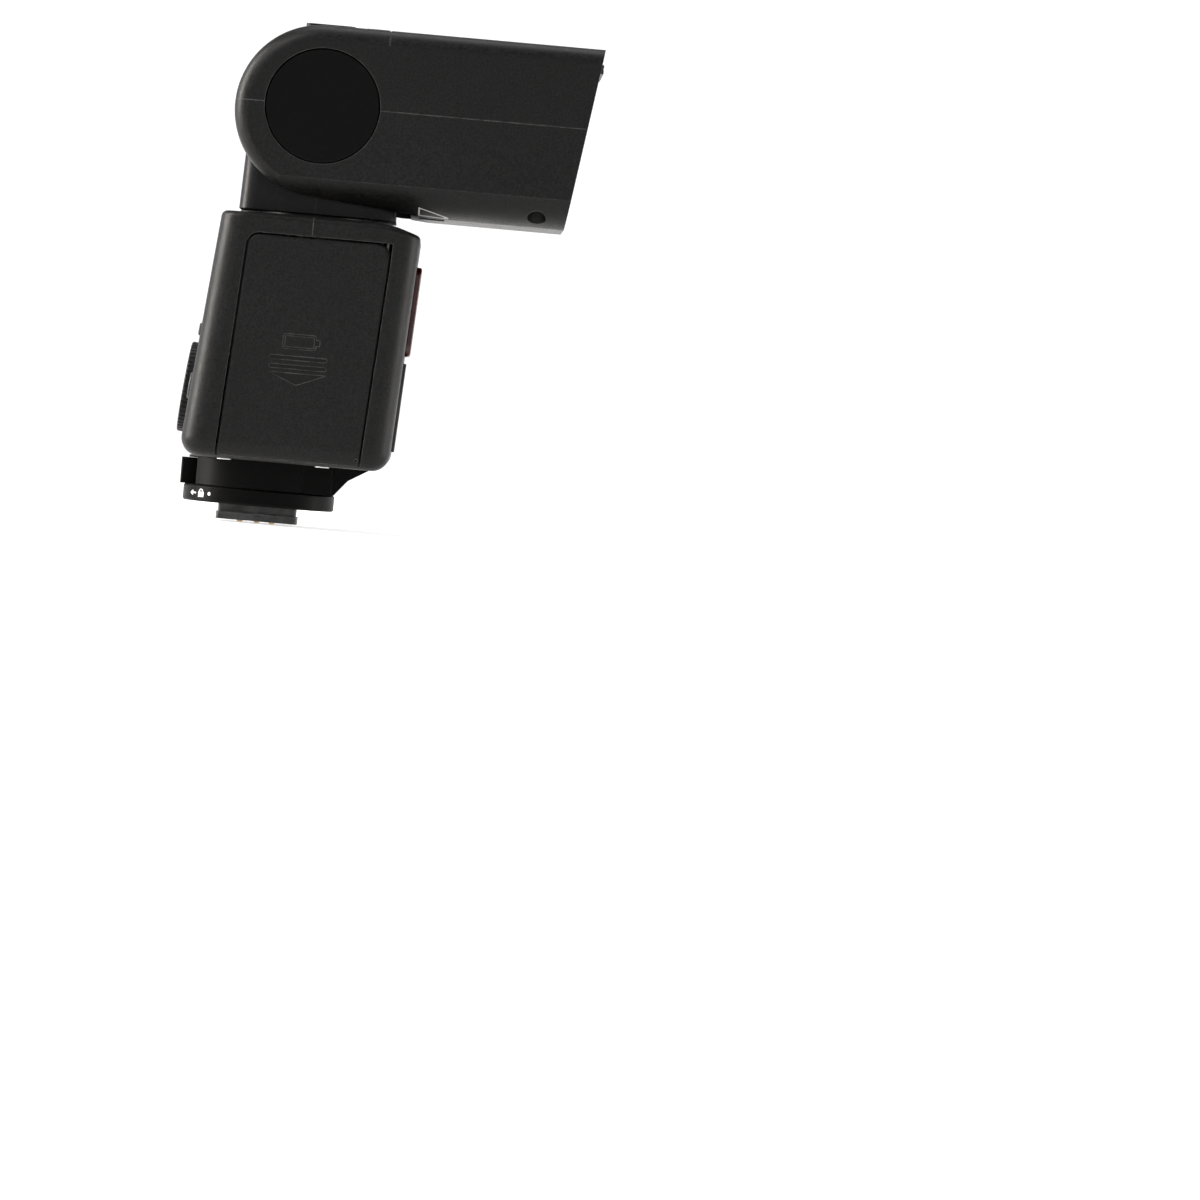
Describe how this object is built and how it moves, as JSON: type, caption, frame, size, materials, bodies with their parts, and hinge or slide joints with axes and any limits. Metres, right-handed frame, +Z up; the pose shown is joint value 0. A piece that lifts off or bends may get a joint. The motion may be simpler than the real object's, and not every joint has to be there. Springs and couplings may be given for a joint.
{
  "type": "speedlight flash",
  "caption": "Shoe-mount electronic flash with a tilting, swivelling and zooming head, side battery door, rear control panel and locking shoe.",
  "frame": {"origin": "centre of the shoe plate's bottom face", "axes": "+X the way the lamp faces, +Y the viewer's left, +Z up"},
  "size_m": [0.1084, 0.076, 0.1373],
  "materials": {
    "casing": "fine-textured matte black moulded plastic",
    "smooth_black": "smooth satin black plastic",
    "rubber": "soft black rubber",
    "button": "dark grey button plastic",
    "red_window": "dark red translucent window",
    "display": "dark clear display window",
    "lens": "clear moulded lens",
    "tube": "clear quartz tube",
    "mirror": "polished aluminium reflector",
    "steel": "bright steel",
    "dark_metal": "black-coated metal",
    "brass": "plated contact brass",
    "board": "green circuit board",
    "white_panel": "white card plastic",
    "diffuser": "frosted clear plastic",
    "cell": "plain wrapped cell",
    "capacitor": "sleeved capacitor"
  },
  "bodies": {
    "root": {"body_front_shell": "casing", "body_rear_shell": "casing", "body_screws": "steel", "control_panel": "smooth_black", "display_window": "display", "display_module": "button", "control_board": "board", "assist_window": "red_window", "assist_lamp": "lens", "sync_terminal": "steel", "power_socket": "smooth_black", "bracket_insert": "brass", "battery_holder": "smooth_black", "aa_cells": "cell", "cell_contacts": "brass", "main_capacitor": "capacitor", "power_board": "board", "foot_base": "casing", "shoe_plate": "dark_metal", "shoe_insulator": "smooth_black", "swivel_ring": "smooth_black"},
    "dial": {"select_dial": "smooth_black"},
    "set_key": {"set_button": "button"},
    "mode_key_1": {"mode_button_1": "button"},
    "mode_key_2": {"mode_button_2": "button"},
    "mode_key_3": {"mode_button_3": "button"},
    "mode_key_4": {"mode_button_4": "button"},
    "test_key": {"test_button": "button"},
    "power_slider": {"power_switch": "button"},
    "terminal_flap": {"terminal_cover": "rubber"},
    "door_slider": {"door_hinge_pin": "steel"},
    "door": {"battery_door": "casing", "door_contacts": "brass"},
    "shoe_lock": {"lock_ring": "casing", "lock_lever": "casing"},
    "shoe_pin": {"lock_pin": "steel"},
    "shoe_contacts": {"contact_pins": "brass"},
    "neck": {"swivel_hub": "dark_metal", "hub_retainer": "steel", "neck_front_shell": "casing", "neck_rear_shell": "casing", "tilt_axle": "steel", "detent_plate": "steel"},
    "head": {"head_upper_shell": "casing", "head_lower_shell": "casing", "head_screws": "steel", "side_disc_right": "smooth_black", "side_disc_left": "smooth_black", "detent_spring": "steel", "index_mark": "white_panel", "lens": "lens", "zoom_motor": "steel", "panel_tray": "smooth_black"},
    "release_key": {"release_button": "button"},
    "zoom": {"reflector": "mirror", "flash_tube": "tube", "zoom_carriage": "smooth_black"},
    "zoom_drive": {"zoom_screw": "steel"},
    "wide_slider": {"wide_panel": "diffuser"},
    "catchlight_slider": {"catchlight_panel": "white_panel"}
  },
  "joints": [
    {"name": "head_swivel", "type": "hinge", "parent": "root", "child": "neck", "pos_m": [0.0089, 0, 0.0846], "axis": [0, 0, 1], "range_deg": [-180, 180]},
    {"name": "head_tilt", "type": "hinge", "parent": "neck", "child": "head", "pos_m": [0.0089, 0, 0.1143], "axis": [0, -1, 0], "range_deg": [-7, 90]},
    {"name": "release_press", "type": "slide", "parent": "head", "child": "release_key", "axis": [0, -1, 0], "range_m": [0, 0.0015], "stiffness_N_per_m": 1500},
    {"name": "zoom_travel", "type": "slide", "parent": "head", "child": "zoom", "axis": [1, 0, 0], "range_m": [0, 0.014]},
    {"name": "zoom_screw_turn", "type": "hinge", "parent": "head", "child": "zoom_drive", "pos_m": [0.0491, 0.015, 0.0919], "axis": [1, 0, 0], "range_deg": [0, 841]},
    {"name": "wide_panel_pull", "type": "slide", "parent": "head", "child": "wide_slider", "axis": [1, 0, 0], "range_m": [0, 0.036]},
    {"name": "catchlight_pull", "type": "slide", "parent": "head", "child": "catchlight_slider", "axis": [1, 0, 0], "range_m": [0, 0.036]},
    {"name": "dial_turn", "type": "hinge", "parent": "root", "child": "dial", "pos_m": [-0.02037, 0, 0.03522], "axis": [-0.9956, 0, 0.0933], "continuous": true},
    {"name": "set_press", "type": "slide", "parent": "root", "child": "set_key", "axis": [0.9956, 0, -0.0933], "range_m": [0, 0.0006], "stiffness_N_per_m": 1500},
    {"name": "mode_press_1", "type": "slide", "parent": "root", "child": "mode_key_1", "axis": [0.9956, 0, -0.0933], "range_m": [0, 0.0005], "stiffness_N_per_m": 1500},
    {"name": "mode_press_2", "type": "slide", "parent": "root", "child": "mode_key_2", "axis": [0.9956, 0, -0.0933], "range_m": [0, 0.0005], "stiffness_N_per_m": 1500},
    {"name": "mode_press_3", "type": "slide", "parent": "root", "child": "mode_key_3", "axis": [0.9956, 0, -0.0933], "range_m": [0, 0.0005], "stiffness_N_per_m": 1500},
    {"name": "mode_press_4", "type": "slide", "parent": "root", "child": "mode_key_4", "axis": [0.9956, 0, -0.0933], "range_m": [0, 0.0005], "stiffness_N_per_m": 1500},
    {"name": "test_press", "type": "slide", "parent": "root", "child": "test_key", "axis": [0.9956, 0, -0.0933], "range_m": [0, 0.0005], "stiffness_N_per_m": 1500},
    {"name": "power_slide", "type": "slide", "parent": "root", "child": "power_slider", "axis": [0.0933, 0, 0.9956], "range_m": [0, 0.006]},
    {"name": "terminal_flap_swing", "type": "hinge", "parent": "root", "child": "terminal_flap", "pos_m": [0.03606, 0.01725, 0.03457], "axis": [0.0541, 0, 0.9985], "range_deg": [0, 110]},
    {"name": "door_slide", "type": "slide", "parent": "root", "child": "door_slider", "axis": [-0.0637, 0, -0.998], "range_m": [0, 0.003]},
    {"name": "door_swing", "type": "hinge", "parent": "door_slider", "child": "door", "pos_m": [0.0262, -0.0369, 0.019], "axis": [0.0637, 0, 0.998], "range_deg": [0, 90]},
    {"name": "lock_turn", "type": "hinge", "parent": "root", "child": "shoe_lock", "pos_m": [0, 0, 0.0065], "axis": [0, 0, 1], "range_deg": [0, 18]},
    {"name": "lock_pin_drop", "type": "slide", "parent": "root", "child": "shoe_pin", "axis": [0, 0, -1], "range_m": [0, 0.0015]},
    {"name": "contact_press", "type": "slide", "parent": "root", "child": "shoe_contacts", "axis": [0, 0, 1], "range_m": [0, 0.0005], "stiffness_N_per_m": 1500}
  ],
  "couplings": [
    {"joint": "zoom_screw_turn", "follows": "zoom_travel", "rad_per_m": 1047.2},
    {"joint": "lock_pin_drop", "follows": "lock_turn", "m_per_rad": 0.0047699}
  ]
}
